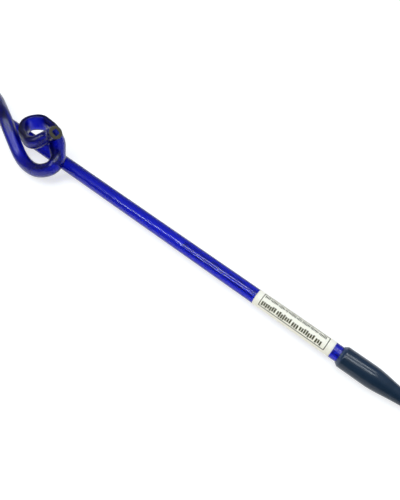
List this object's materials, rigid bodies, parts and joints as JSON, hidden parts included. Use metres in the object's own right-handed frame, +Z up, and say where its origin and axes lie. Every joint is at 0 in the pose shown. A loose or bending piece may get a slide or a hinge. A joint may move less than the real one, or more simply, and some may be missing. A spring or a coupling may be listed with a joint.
{
  "type": "treble clef pen",
  "caption": "Slim pen of one bent translucent blue tube: straight stem, treble clef curl with open end, wrap label, tapered slip-on cap.",
  "frame": {"origin": "centre of the pen's bounding box in X and Y, on the table plane it lies on", "axes": "+X along the straight stem from the curl to the cap, +Z up from the table"},
  "size_m": [0.2436, 0.0264, 0.0236],
  "materials": {
    "cobalt_glass": "polished cobalt blue glass",
    "label_paper": "coated paper, printed frame and rules",
    "smoke_plastic": "dark smoke translucent moulding",
    "holder_plastic": "natural white moulding",
    "nickel_silver": "turned nickel silver",
    "clear_plastic": "natural translucent tube",
    "blue_ink": "wet oil-based ink",
    "carbide": "lapped hard metal"
  },
  "bodies": {
    "barrel": {"clef_barrel": "cobalt_glass", "paper_label": "label_paper", "point_holder": "holder_plastic", "metal_point": "nickel_silver", "ink_tube": "clear_plastic", "ink_column": "blue_ink"},
    "cap": {"cap": "smoke_plastic"},
    "ball": {"writing_ball": "carbide"}
  },
  "joints": [
    {"name": "cap_slide", "type": "slide", "parent": "barrel", "child": "cap", "axis": [1, 0, 0], "range_m": [0, 0.04]},
    {"name": "ball_roll", "type": "hinge", "parent": "barrel", "child": "ball", "pos_m": [0.11447, 0.00076, 0.0041], "axis": [1, 0, 0], "continuous": true}
  ]
}
